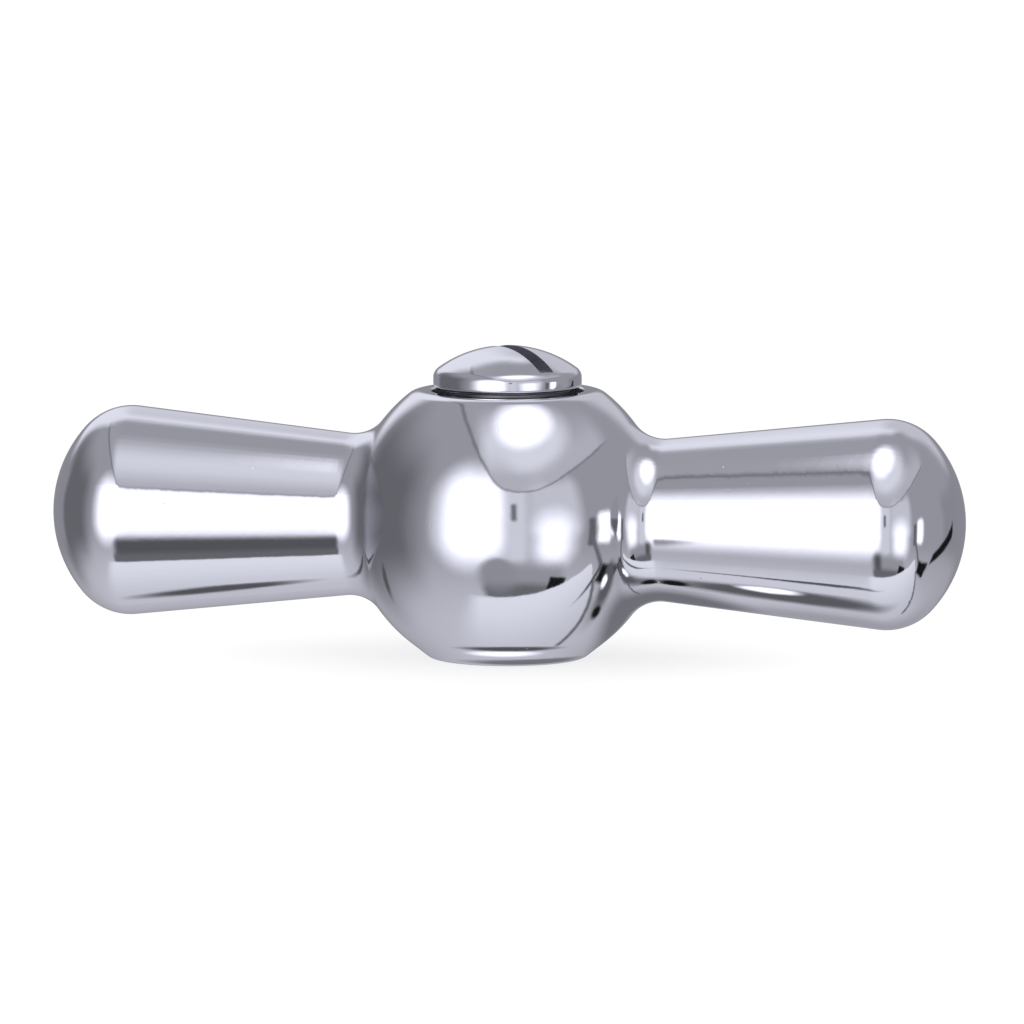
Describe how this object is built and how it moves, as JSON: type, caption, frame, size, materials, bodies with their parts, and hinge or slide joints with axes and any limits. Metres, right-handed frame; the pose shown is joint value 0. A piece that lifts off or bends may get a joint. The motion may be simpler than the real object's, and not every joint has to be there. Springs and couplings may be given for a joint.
{
  "type": "tap handle",
  "caption": "Polished tap handle with tapered round-ended arms on a ball hub, a serrated spindle socket in its base and a slotted dome-head screw in its top.",
  "frame": {"origin": "centre of the base face, where the spindle enters", "axes": "+Z along the spindle axis, away from the tap, and X along the arms"},
  "size_m": [0.0728, 0.025, 0.0247],
  "materials": {
    "body_chrome": "polished chrome plate",
    "screw_chrome": "polished chrome plate"
  },
  "bodies": {
    "root": {"handle_body": "body_chrome", "retaining_screw": "screw_chrome"}
  },
  "joints": []
}
